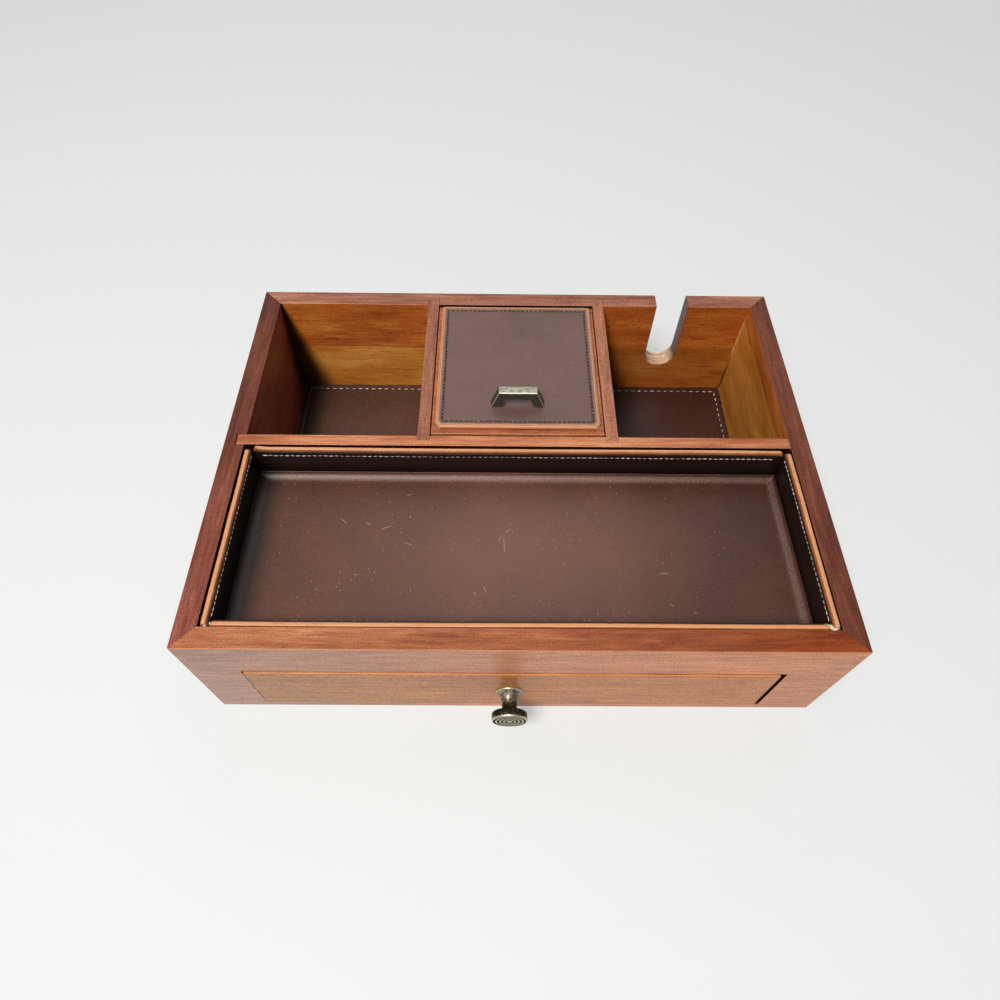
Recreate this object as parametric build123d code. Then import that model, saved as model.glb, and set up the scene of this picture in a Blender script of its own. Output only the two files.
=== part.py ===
"""A wooden valet box: a mitred case with a leather lined tray over a drawer in front,
and behind a cross board two open compartments beside a well with a hinged, padded lid.

Millimetres. +X is to the right, +Y to the back, +Z up. The origin is the middle of the
case's underside. The drawer's knob points to -Y.
"""
import os
from math import asin, cos, sin

from build123d import *

# ---------------------------------------------------------------- driving dimensions
# Case: four boards with mitred corners
case_width = 320.0       # outside, left to right
case_depth = 241.0       # outside, front to back
case_height = 81.0       # underside to rim
board = 11.0             # thickness of the four outer boards
corner_round = 0.9       # rounding of the upright outside corners
arris_round = 0.6        # rounding of the long outside edges
foot_round = 3.5         # the underside's left edge is sanded round
inner_arris = 0.4        # rounding of the rim's inner edge
base_thick = 6.0         # bottom panel
rebate = 5.0             # how far the bottom panel is let into the boards
housing = 5.0            # how far the cross board is let into the left board
glue_gap = 0.1           # play between glued pieces
cross_thick = 7.0        # board across the case, behind the tray
cross_end_gap = 0.7      # the cross board is short by this at its left end
tray_bay = 106.0         # inside of the front board to the cross board
divider_thick = 6.7      # the two boards beside the lidded well
well_width = 97.3        # between the dividers
divider_in_back = 4.5    # housing depth in the back board
divider_in_cross = 3.0   # housing depth in the cross board

# Cable notch in the back board
notch_width = 20.0
notch_depth = 51.0       # rim to the lowest point of its round bottom
notch_from_right = 60.5  # outside of the case to the middle of the notch

# Drawer window in the front board
jamb_left = 25.0         # outside of the case to the window
jamb_right = 29.0
rail_height = 28.5       # front board above the window

# Drawer
front_gap_left = 0.6     # drawer front to the window's left side
front_gap_right = 2.6    # and to its right side
front_top_gap = 0.9
slide_gap = 0.3          # drawer over the bottom panel, and beside its guides
front_proud = 0.8        # drawer front stands out of the case by this
front_thick = 10.0
front_round = 0.9        # rounding of the drawer front's outer edges
front_corner = 1.5       # rounding of its four corners, seen from the front
side_thick = 6.0
side_lap = 5.0           # the sides' ends are let into the drawer front by this
side_drop = 7.0          # the sides are lower than the drawer front by this
back_lap = 3.0           # the drawer back is let into the sides by this
back_gap = 1.5           # closed drawer to the cross board
drawer_floor = 3.0       # bottom sheet
floor_up = 4.0           # bottom edge of the sides to the bottom sheet
floor_lap = 3.0          # bottom sheet in the grooves
liner_thick = 1.2
liner_gap = 0.3
guide_height = 18.0      # wooden strips beside the drawer
guide_chamfer = 1.0

# Knob: radii and distances from the drawer front
knob_left = 1.2          # knob to the left of the drawer's middle
knob_down = 1.0          # and below it
knob_foot_radius = 6.7
knob_foot_thick = 0.9
knob_waist_radius = 3.8
knob_waist_at = 7.0
knob_flare_steps = 4     # straight runs that the flare between foot and waist is cut in
knob_disc_radius = 9.0
knob_disc_back = 10.8    # back of the disc
knob_disc_thick = 5.0
knob_shoulder = 1.4      # cone between waist and disc
knob_rim = 1.2           # bevel of the disc's front edge
ring_pitch = 2.0         # between the grooves in the knob's face
ring_groove = 1.1        # width of a groove, a V in section
ring_deep = 0.6
ring_count = 4
knob_screw_radius = 2.0
knob_screw_depth = 8.0   # how far the screw reaches into the knob
screw_play = 0.05        # round every screw and pin
screw_head_radius = 4.0
screw_head_thick = 2.0
driver_slot_wide = 0.8   # slot in a screw's head
driver_slot_deep = 0.6

# Tray of leather covered board, glued in above the drawer
shelf_thick = 3.0        # plywood sheet under the tray
shelf_above_window = 0.5
shelf_groove = 3.0       # how far the shelf is let into the boards
tray_gap = 1.0           # tray to the boards round it
tray_shift = 0.4         # the lining stands this much to the right
tray_drop = 0.5          # tray's upper edge below the rim
wall_outer = 2.5         # outer layer, folded over the top
wall_inner = 0.7         # inner layer, stitched on lower down
wall_step = 1.4          # inner layer's top below the outer one's
wall_end_gap = 0.6       # open corners of the tray
tray_floor_thick = 3.0

# Loose pads in the three wells
pad_thick = 2.2
pad_gap = 0.7
pad_corner_cut = 1.5
pad_round = 0.8

# Lid
lid_thick = 5.0
lid_side_gap = 0.7
lid_front_gap = 1.4
lid_back_gap = 2.2
lid_round = 0.5
lid_pad_thick = 2.5
pad_inset_side = 2.0
pad_inset_front = 3.2
pad_inset_back = 2.0
pad_corner = 2.8         # front corners of the lid's pad are cut off by this
pad_edge_round = 0.9
pin_radius = 1.0
pin_from_back = 4.8      # lid's back edge to its pins
pin_in_divider = 4.0
pin_in_lid = 8.0
rest_depth = 4.0         # strip under the lid's front edge
rest_height = 5.0
rest_gap = 0.2

# Lid's handle: a bridge with sloping ends
handle_setback = 17.2    # lid's front edge to the handle
handle_foot_span = 30.4
handle_top_span = 21.2
handle_height = 11.8
handle_depth = 5.2
handle_open_foot = 18.0  # width of the opening at the feet
handle_open_top = 12.7
handle_open_height = 6.2
handle_bevel = 0.45      # along the edges of its two faces
handle_screw_radius = 1.2
handle_screw_depth = 4.5
handle_screw_at = 11.4   # from the handle's middle
handle_screw_head = 2.4
handle_head_thick = 1.4

past = 1.0               # cuts run past a face by this

# ---------------------------------------------------------------- places worked out from them
out_x = case_width / 2
out_y = case_depth / 2
in_x = out_x - board
in_y = out_y - board
cross_front = -in_y + tray_bay
cross_back = cross_front + cross_thick
divider_in = well_width / 2
divider_out = divider_in + divider_thick

window_left = -out_x + jamb_left
window_right = out_x - jamb_right
window_top = case_height - rail_height
notch_x = out_x - notch_from_right

drawer_left = window_left + front_gap_left
drawer_right = window_right - front_gap_right
drawer_mid = (drawer_left + drawer_right) / 2
drawer_low = base_thick + slide_gap
drawer_top = window_top - front_top_gap
drawer_face = -out_y - front_proud
drawer_inside = drawer_face + front_thick
drawer_end = cross_front - back_gap
side_start = drawer_inside - side_lap
side_top = drawer_top - side_drop
drawer_floor_low = drawer_low + floor_up
drawer_floor_top = drawer_floor_low + drawer_floor
back_front = drawer_end - side_thick
knob_x = drawer_mid - knob_left
knob_z = (drawer_low + drawer_top) / 2 - knob_down

shelf_low = window_top + shelf_above_window
shelf_top = shelf_low + shelf_thick
tray_x = in_x - tray_gap
tray_front = -in_y + tray_gap
tray_back = cross_front - tray_gap
tray_top = case_height - tray_drop
wall_thick = wall_outer + wall_inner

lid_x = divider_in - lid_side_gap
lid_front = cross_back + lid_front_gap
lid_back = in_y - lid_back_gap
lid_low = case_height - lid_thick
lid_pad_top = case_height + lid_pad_thick
pin_y = lid_back - pin_from_back
pin_z = case_height - lid_thick / 2
handle_front = lid_front + handle_setback
handle_y = handle_front + handle_depth / 2


# ---------------------------------------------------------------- helpers
def block(x0, x1, y0, y1, z0, z1):
    """A box between two corners."""
    return Pos(x0, y0, z0) * Box(x1 - x0, y1 - y0, z1 - z0, align=(Align.MIN,) * 3)


def prism(points, height):
    """An upright prism on a plan outline."""
    return extrude(make_face(Polyline(*points, close=True)), height)


def rod(radius, length):
    """A rod along +Z from the origin."""
    return Cylinder(radius, length, align=(Align.CENTER, Align.CENTER, Align.MIN))


def along_y(shape, x, y, z):
    """Turn a shape that stands on +Z so that it lies along +Y from a place."""
    return Pos(x, y, z) * Rot(-90, 0, 0) * shape


def along_x(shape, x, y, z):
    """The same along +X."""
    return Pos(x, y, z) * Rot(0, 90, 0) * shape


def eased(solid, face_axis, radius, ends=(-1,)):
    """Round the edges of a solid's outermost faces along one axis."""
    for end in ends:
        solid = fillet(solid.faces().sort_by(face_axis)[end].edges(), radius)
    return solid


# ---------------------------------------------------------------- case
def case_ring():
    """All four boards as one ring, before the mitres are cut."""
    ring = block(-out_x, out_x, -out_y, out_y, 0, case_height)
    ring = fillet(ring.edges().filter_by(Axis.Z), corner_round)
    ring = eased(ring, Axis.Z, arris_round, ends=(0, -1))
    ring -= left_foot()
    ring -= block(-in_x, in_x, -in_y, in_y, -past, case_height + past)
    rim = ring.faces().sort_by(Axis.Z)[-1]
    ring = fillet(rim.inner_wires()[0].edges(), inner_arris)
    ring -= block(-in_x - rebate, in_x + rebate, -in_y - rebate, in_y + rebate,
                  -past, base_thick)
    ring -= block(-in_x - shelf_groove, in_x + shelf_groove, -in_y - shelf_groove,
                  cross_front, shelf_low, shelf_top)
    ring -= block(-in_x - housing, 0, cross_front - glue_gap, cross_back + glue_gap,
                  base_thick, case_height + past)
    return ring


def left_foot():
    """What sanding takes off along the underside's left edge."""
    corner = block(-out_x - past, -out_x + foot_round, -out_y - past, out_y + past,
                   -past, foot_round)
    kept = rod(foot_round, case_depth + 4 * past)
    return corner - along_y(kept, -out_x + foot_round, -out_y - 2 * past, foot_round)


def mitre(side_x, side_y):
    """Plan of one board: a trapezoid that runs a little past it, inside and outside."""
    far_x, far_y = out_x + past, out_y + past
    near_x, near_y = in_x - past, in_y - past
    if side_y:
        points = [(-far_x, side_y * far_y), (far_x, side_y * far_y),
                  (near_x, side_y * near_y), (-near_x, side_y * near_y)]
    else:
        points = [(side_x * far_x, -far_y), (side_x * near_x, -near_y),
                  (side_x * near_x, near_y), (side_x * far_x, far_y)]
    return prism(points, case_height)


def front_board(ring):
    """Front board with the drawer's window."""
    window = block(window_left, window_right, -out_y - past, -in_y + past,
                   base_thick, window_top)
    return ring & mitre(0, -1) - window


def back_board(ring):
    """Back board with the round bottomed cable notch and the dividers' housings."""
    radius = notch_width / 2
    round_z = case_height - notch_depth + radius
    solid = ring & mitre(0, 1)
    solid -= block(notch_x - radius, notch_x + radius, in_y - past, out_y + past,
                   round_z, case_height + past)
    solid -= along_y(rod(radius, board + 2 * past), notch_x, in_y - past, round_z)
    for sign in (-1, 1):
        solid -= divider_slot(sign, in_y - past, in_y + divider_in_back)
    return solid


def divider_slot(sign, y0, y1):
    """Housing for one divider, open at the rim."""
    near, far = sorted((sign * divider_in, sign * divider_out))
    return block(near - glue_gap, far + glue_gap, y0, y1, base_thick, case_height + past)


def bottom_panel():
    """Panel flush with the boards' undersides, in a rebate all round."""
    x, y = in_x + rebate - glue_gap, in_y + rebate - glue_gap
    return block(-x, x, -y, y, 0, base_thick)


def cross_board():
    """Board behind the tray, let into the left board and butted to the right one."""
    left = -in_x - housing + cross_end_gap
    right = in_x - glue_gap
    solid = block(left, right, cross_front, cross_back, base_thick, case_height)
    solid = fillet(solid.faces().sort_by(Axis.Z)[-1].edges().filter_by(Axis.X), inner_arris)
    for sign in (-1, 1):
        solid -= divider_slot(sign, cross_back - divider_in_cross, cross_back + past)
    return solid


def divider(sign):
    """One board beside the lidded well, with the hole for the lid's pin."""
    near, far = sorted((sign * divider_in, sign * divider_out))
    y0 = cross_back - divider_in_cross + glue_gap
    y1 = in_y + divider_in_back - glue_gap
    solid = block(near, far, y0, y1, base_thick, case_height)
    solid = fillet(solid.faces().sort_by(Axis.Z)[-1].edges().filter_by(Axis.Y), inner_arris)
    hole = rod(pin_radius + screw_play, pin_in_divider + past)
    start = divider_in - past if sign > 0 else -divider_in - pin_in_divider
    return solid - along_x(hole, start, pin_y, pin_z)


def hinge_pin(sign):
    """Steel pin from a divider into the lid's edge."""
    start, end = divider_in + pin_in_divider, lid_x - pin_in_lid
    return along_x(rod(pin_radius, start - end), end if sign > 0 else -start, pin_y, pin_z)


def tray_shelf():
    """Plywood sheet over the drawer, in grooves of the front and side boards."""
    x = in_x + shelf_groove - glue_gap
    return block(-x, x, -in_y - shelf_groove + glue_gap, cross_front, shelf_low, shelf_top)


def drawer_guide(sign):
    """Strip on the bottom panel that fills the space beside the drawer."""
    inner = drawer_right + slide_gap if sign > 0 else drawer_left - slide_gap
    near, far = sorted((inner, sign * in_x))
    strip = block(near, far, -in_y, cross_front, base_thick, base_thick + guide_height)
    top = strip.faces().sort_by(Axis.Z)[-1]
    return chamfer(top.edges().filter_by(Axis.Y).sort_by(Axis.X)[0 if sign > 0 else -1],
                   guide_chamfer)


def lid_rest():
    """Strip on the cross board that carries the lid's front edge."""
    top = lid_low - rest_gap
    strip = block(-divider_in, divider_in, cross_back, cross_back + rest_depth,
                  top - rest_height, top)
    low = strip.edges().filter_by(Axis.X).group_by(Axis.Z)[0].sort_by(Axis.Y)[-1]
    return chamfer(low, rest_depth / 2)


# ---------------------------------------------------------------- tray
def wall_section():
    """Section of a tray wall: the outer layer's rolled top over the lower inner layer.

    Drawn with the outer face at x = 0 and the tray's inside towards +x.
    """
    height = tray_top - shelf_top
    outer = Pos(wall_outer / 2, height / 2) * Rectangle(wall_outer, height)
    outer = fillet(outer.vertices().group_by(Axis.Y)[-1], wall_outer * 0.45)
    low = height - wall_step
    inner = Pos(wall_outer + wall_inner / 2, low / 2) * Rectangle(wall_inner, low)
    inner = fillet(inner.vertices().group_by(Axis.Y)[-1].sort_by(Axis.X)[-1], wall_inner * 0.45)
    return outer + inner


def wall(length):
    """A tray wall along +Y, its outer face on x = 0 and its foot on z = 0."""
    return extrude(Plane.XZ * wall_section(), -length)


def tray_side(sign):
    """Left or right wall, over the whole depth of the tray."""
    solid = wall(tray_back - tray_front)
    if sign > 0:
        solid = mirror(solid, Plane.YZ)
    return Pos(tray_shift + sign * tray_x, tray_front, shelf_top) * solid


def tray_end(sign):
    """Front or back wall, between the side walls."""
    half = tray_x - wall_thick - wall_end_gap
    if sign < 0:
        return Pos(tray_shift + half, tray_front, shelf_top) * Rot(0, 0, 90) * wall(2 * half)
    return Pos(tray_shift - half, tray_back, shelf_top) * Rot(0, 0, -90) * wall(2 * half)


def tray_floor():
    """Covered board between the walls."""
    x = tray_x - wall_thick - liner_gap
    y0, y1 = tray_front + wall_thick + liner_gap, tray_back - wall_thick - liner_gap
    solid = block(tray_shift - x, tray_shift + x, y0, y1,
                  shelf_top, shelf_top + tray_floor_thick)
    return eased(solid, Axis.Z, pad_round)


def well_pad(x0, x1):
    """Thin pad on the bottom panel of a well."""
    solid = block(x0 + pad_gap, x1 - pad_gap, cross_back + pad_gap, in_y - pad_gap,
                  base_thick, base_thick + pad_thick)
    solid = chamfer(solid.edges().filter_by(Axis.Z), pad_corner_cut)
    return eased(solid, Axis.Z, pad_round)


# ---------------------------------------------------------------- lid
def lid_screw_places():
    """Plan positions of the two screws in the handle's feet."""
    return [(-handle_screw_at, handle_y), (handle_screw_at, handle_y)]


def lid_board():
    """The lid's wooden board, with pin holes and countersunk screw holes."""
    solid = block(-lid_x, lid_x, lid_front, lid_back, lid_low, case_height)
    solid = eased(solid, Axis.Z, lid_round)
    for sign in (-1, 1):
        hole = rod(pin_radius + screw_play, pin_in_lid + past)
        start = lid_x - pin_in_lid if sign > 0 else -lid_x - past
        solid -= along_x(hole, start, pin_y, pin_z)
    for x, y in lid_screw_places():
        hole = rod(handle_screw_radius + screw_play, lid_thick + 2 * past)
        solid -= Pos(x, y, lid_low - past) * hole
        solid -= Pos(x, y, lid_low) * head_cone(screw_play)
    return solid


def head_cone(play):
    """Countersunk screw head with its flat side down on z = 0."""
    wide, narrow = handle_screw_head + play, handle_screw_radius + play
    return Cone(wide, narrow, handle_head_thick, align=(Align.CENTER, Align.CENTER, Align.MIN))


def driver_slot(head_radius):
    """What a driver's slot takes out of a head whose flat side is on z = 0."""
    return Box(head_radius * 1.5, driver_slot_wide, driver_slot_deep * 2)


def lid_pad():
    """Leather pad on the lid, with its two front corners cut off."""
    x0, x1 = -lid_x + pad_inset_side, lid_x - pad_inset_side
    y0, y1 = lid_front + pad_inset_front, lid_back - pad_inset_back
    outline = [(x0 + pad_corner, y0), (x1 - pad_corner, y0), (x1, y0 + pad_corner),
               (x1, y1), (x0, y1), (x0, y0 + pad_corner)]
    solid = Pos(0, 0, case_height) * prism(outline, lid_pad_thick)
    solid = eased(solid, Axis.Z, pad_edge_round)
    for x, y in lid_screw_places():
        hole = rod(handle_screw_radius + screw_play, lid_pad_thick + 2 * past)
        solid -= Pos(x, y, case_height - past) * hole
    return solid


def lid_handle():
    """Bridge handle: a trapezoid with a smaller trapezoid cut out between its feet."""
    foot, top = handle_foot_span / 2, handle_top_span / 2
    open_foot, open_top = handle_open_foot / 2, handle_open_top / 2
    outline = [(-foot, 0), (-top, handle_height), (top, handle_height), (foot, 0),
               (open_foot, 0), (open_top, handle_open_height),
               (-open_top, handle_open_height), (-open_foot, 0)]
    face = make_face(Polyline(*outline, close=True))
    solid = extrude(Plane.XZ * face, -handle_depth)
    for end in (0, -1):
        side = solid.faces().sort_by(Axis.Y)[end]
        above = side.edges().filter_by(lambda edge: edge.center().Z > handle_bevel)
        solid = chamfer(above, handle_bevel)
    solid = Pos(0, handle_front, lid_pad_top) * solid
    for x, y in lid_screw_places():
        hole = rod(handle_screw_radius + screw_play, handle_screw_depth + past)
        solid -= Pos(x, y, lid_pad_top - past) * hole
    return solid


def handle_screws():
    """Two countersunk screws from under the lid into the handle's feet."""
    length = lid_thick + lid_pad_thick + handle_screw_depth - screw_play * 4
    screw = rod(handle_screw_radius, length) + head_cone(0)
    screw -= driver_slot(handle_screw_head)
    return [Pos(x, y, lid_low) * screw for x, y in lid_screw_places()]


# ---------------------------------------------------------------- drawer
def drawer_front():
    """Drawer front, rebated at both ends for the sides and grooved for the bottom sheet."""
    solid = block(drawer_left, drawer_right, drawer_face, drawer_inside, drawer_low, drawer_top)
    solid = fillet(solid.edges().filter_by(Axis.Y), front_corner)
    solid = fillet(solid.faces().sort_by(Axis.Y)[0].edges(), front_round)
    for x in (drawer_left, drawer_right - side_thick):
        solid -= block(x, x + side_thick, side_start, drawer_inside,
                       drawer_low, side_top + glue_gap)
    solid -= bottom_sheet(0)
    solid -= along_y(rod(knob_screw_radius + screw_play, front_thick + 2 * past),
                     knob_x, drawer_face - past, knob_z)
    return solid


def bottom_sheet(play):
    """The drawer's bottom sheet, or with no play its grooves."""
    x0 = drawer_left + side_thick - floor_lap + play
    x1 = drawer_right - side_thick + floor_lap - play
    y0, y1 = drawer_inside - floor_lap + play, back_front + floor_lap - play
    return block(x0, x1, y0, y1, drawer_floor_low, drawer_floor_top)


def drawer_side(sign):
    """Drawer side, with a rebate for the back and a groove for the bottom sheet."""
    near, far = drawer_left, drawer_left + side_thick
    if sign > 0:
        near, far = drawer_right - side_thick, drawer_right
    solid = block(near, far, side_start, drawer_end, drawer_low, side_top)
    solid = fillet(solid.faces().sort_by(Axis.Z)[-1].edges().filter_by(Axis.Y), lid_round)
    lap0, lap1 = (far - back_lap, far) if sign < 0 else (near, near + back_lap)
    solid -= block(lap0, lap1, back_front, drawer_end + past,
                   drawer_low - past, side_top + past)
    return solid - bottom_sheet(0)


def drawer_back():
    """Drawer back between the sides."""
    x0 = drawer_left + side_thick - back_lap + glue_gap
    x1 = drawer_right - side_thick + back_lap - glue_gap
    solid = block(x0, x1, back_front, drawer_end, drawer_low, side_top)
    solid = fillet(solid.faces().sort_by(Axis.Z)[-1].edges().filter_by(Axis.X), lid_round)
    return solid - bottom_sheet(0)


def drawer_liner():
    """Thin lining on the drawer's bottom sheet."""
    x0, x1 = drawer_left + side_thick + liner_gap, drawer_right - side_thick - liner_gap
    y0, y1 = drawer_inside + liner_gap, back_front - liner_gap
    return block(x0, x1, y0, y1, drawer_floor_top, drawer_floor_top + liner_thick)


def knob_flare():
    """Points of the flare from the foot up to the waist, a circle cut in straight runs."""
    wide = knob_foot_radius - knob_waist_radius
    high = knob_waist_at - knob_foot_thick
    radius = (wide * wide + high * high) / (2 * wide)
    whole = asin(high / radius)
    angles = [whole * step / knob_flare_steps for step in reversed(range(knob_flare_steps))]
    return [(knob_waist_radius + radius * (1 - cos(a)), knob_waist_at - radius * sin(a))
            for a in angles]


def drawer_knob():
    """Turned knob: a flared foot, a waist and a thick disc with ringed grooves in its face."""
    disc_front = knob_disc_back + knob_disc_thick
    foot = (knob_foot_radius, knob_foot_thick)
    neck = (knob_waist_radius, knob_disc_back - knob_shoulder)
    shoulder = (knob_waist_radius + knob_shoulder, knob_disc_back)
    back = (knob_disc_radius, knob_disc_back)
    lip = (knob_disc_radius, disc_front - knob_rim)
    face_edge = (knob_disc_radius - knob_rim, disc_front)
    rings = []
    for index in range(ring_count, 0, -1):
        radius = index * ring_pitch
        rings += [(radius + ring_groove / 2, disc_front), (radius, disc_front - ring_deep),
                  (radius - ring_groove / 2, disc_front)]
    outline = Polyline((0, 0), (knob_foot_radius, 0), foot, *knob_flare(), neck, shoulder,
                       back, lip, face_edge, *rings, (0, disc_front), close=True)
    turned = revolve(Plane.XZ * make_face(outline), Axis.Z)
    turned -= rod(knob_screw_radius + screw_play, knob_screw_depth)
    return Pos(knob_x, drawer_face, knob_z) * Rot(90, 0, 0) * turned


def knob_screw():
    """Pan head screw from inside the drawer into the knob."""
    reach = front_thick + knob_screw_depth - screw_play * 4
    head = rod(screw_head_radius, screw_head_thick)
    head = chamfer(head.faces().sort_by(Axis.Z)[0].edges(), screw_head_thick * 0.4)
    shank = rod(knob_screw_radius, reach)
    screw = head - driver_slot(screw_head_radius) + Pos(0, 0, screw_head_thick) * shank
    return Pos(knob_x, drawer_inside + screw_head_thick, knob_z) * Rot(90, 0, 0) * screw


# ---------------------------------------------------------------- all pieces
def pieces():
    """Every node's name with its solid, or list of solids."""
    ring = case_ring()
    return {
        "front_board": front_board(ring),
        "back_board": back_board(ring),
        "left_board": ring & mitre(-1, 0),
        "right_board": ring & mitre(1, 0),
        "bottom_panel": bottom_panel(),
        "cross_board": cross_board(),
        "divider_left": divider(-1),
        "divider_right": divider(1),
        "hinge_pin_left": hinge_pin(-1),
        "hinge_pin_right": hinge_pin(1),
        "tray_shelf": tray_shelf(),
        "drawer_guide_left": drawer_guide(-1),
        "drawer_guide_right": drawer_guide(1),
        "lid_rest_strip": lid_rest(),
        "tray_floor": tray_floor(),
        "tray_wall_left": tray_side(-1),
        "tray_wall_right": tray_side(1),
        "tray_wall_front": tray_end(-1),
        "tray_wall_back": tray_end(1),
        "pad_left": well_pad(-in_x, -divider_out),
        "pad_centre": well_pad(-divider_in, divider_in),
        "pad_right": well_pad(divider_out, in_x),
        "lid_board": lid_board(),
        "lid_pad": lid_pad(),
        "lid_handle": lid_handle(),
        "lid_handle_screws": handle_screws(),
        "drawer_front": drawer_front(),
        "drawer_side_left": drawer_side(-1),
        "drawer_side_right": drawer_side(1),
        "drawer_back": drawer_back(),
        "drawer_bottom": bottom_sheet(glue_gap),
        "drawer_liner": drawer_liner(),
        "drawer_knob": drawer_knob(),
        "drawer_knob_screw": knob_screw(),
    }


os.makedirs("parts", exist_ok=True)
for name, shape in pieces().items():
    group = Compound(children=shape) if isinstance(shape, list) else shape
    export_step(group, f"parts/{name}.step")
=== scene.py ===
"""Looks of a wooden valet box with a leather lined tray, a drawer and a padded lid.

Metres, in the frame of the box: +X right, +Y back, +Z up, and the origin under its middle.
"""
import math
import random

import bmesh
import bpy
from mathutils import Matrix, Vector


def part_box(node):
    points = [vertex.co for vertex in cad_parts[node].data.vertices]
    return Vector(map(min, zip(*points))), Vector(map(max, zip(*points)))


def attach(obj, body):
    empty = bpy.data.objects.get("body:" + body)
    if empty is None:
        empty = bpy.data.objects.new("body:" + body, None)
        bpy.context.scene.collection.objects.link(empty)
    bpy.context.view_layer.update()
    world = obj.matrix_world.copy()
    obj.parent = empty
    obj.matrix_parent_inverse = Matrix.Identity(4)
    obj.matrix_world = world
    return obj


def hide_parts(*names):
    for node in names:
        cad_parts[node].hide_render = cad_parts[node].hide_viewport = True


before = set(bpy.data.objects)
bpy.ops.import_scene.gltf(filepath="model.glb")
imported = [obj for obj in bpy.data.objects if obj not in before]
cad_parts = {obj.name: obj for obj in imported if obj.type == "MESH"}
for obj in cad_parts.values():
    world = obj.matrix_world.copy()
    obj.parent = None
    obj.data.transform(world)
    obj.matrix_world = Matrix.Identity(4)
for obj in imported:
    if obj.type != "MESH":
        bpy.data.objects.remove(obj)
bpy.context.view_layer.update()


# ------------------------------------------------------------------ case boards
# Four mitred boards of a straight grained softwood, stained red-brown and wiped with satin
# lacquer. The stain is thin on the insides and on the arrises, where it was sanded through.
MM = 0.001


def paint(red, green, blue):
    """A colour as it is seen, 0 to 255, for a shader's socket."""
    seen = (red / 255, green / 255, blue / 255)
    return tuple(c / 12.92 if c < 0.04045 else ((c + 0.055) / 1.055) ** 2.4 for c in seen) + (1,)


class Wire:
    """A socket of a finish, so that its masks are written as plain arithmetic."""

    def __init__(self, finish, socket):
        self.finish = finish
        self.socket = socket

    def sum(self, operation, *values):
        return self.finish.node("ShaderNodeMath", {"operation": operation}, dict(enumerate(values)))

    def __add__(self, other):
        return self.sum("ADD", self, other)

    def __sub__(self, other):
        return self.sum("SUBTRACT", self, other)

    def __rsub__(self, other):
        return self.sum("SUBTRACT", other, self)

    def __mul__(self, other):
        return self.sum("MULTIPLY", self, other)

    def __truediv__(self, other):
        return self.sum("DIVIDE", self, other)

    def __pow__(self, other):
        return self.sum("POWER", self, other)

    def __abs__(self):
        return self.sum("ABSOLUTE", self)

    __radd__ = __add__
    __rmul__ = __mul__

    def least(self, other):
        return self.sum("MINIMUM", self, other)

    def most(self, other):
        return self.sum("MAXIMUM", self, other)

    def step(self, low, high):
        """0 below low, 1 above high and a soft change between them."""
        settings = {"interpolation_type": "SMOOTHSTEP"}
        return self.finish.node("ShaderNodeMapRange", settings, {0: self, 1: low, 2: high})


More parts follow.
